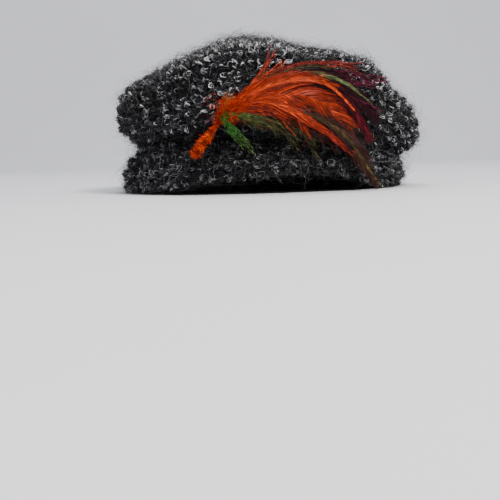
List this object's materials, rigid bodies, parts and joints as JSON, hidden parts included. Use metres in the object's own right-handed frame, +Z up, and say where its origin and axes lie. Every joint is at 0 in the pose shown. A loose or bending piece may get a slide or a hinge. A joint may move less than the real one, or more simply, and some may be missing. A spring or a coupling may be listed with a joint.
{
  "type": "knitted pillbox hat with a feather plume",
  "caption": "soft hand-knitted hat with a puffed flat crown, a deep groove, a thick rolled brim and a sweeping feather plume on its front",
  "frame": {"origin": "middle of the hat's box, on the floor that it rests on", "axes": "+Z up, the hat's front faces -Y, the wearer's left is +X"},
  "size_m": [0.2084, 0.2448, 0.1026],
  "materials": {
    "boucle_yarn": "charcoal mohair and boucle yarn with pale glossy loops and a fine halo of hairs",
    "dyed_feather": "cock feathers dyed orange, dark red, burgundy and green, with a soft shine",
    "hackle_fluff": "short fluffy orange hackle with green flecks"
  },
  "bodies": {
    "root": {"crown": "boucle_yarn", "rolled_brim": "boucle_yarn", "plume": "dyed_feather", "plume_stem": "hackle_fluff"}
  },
  "joints": []
}
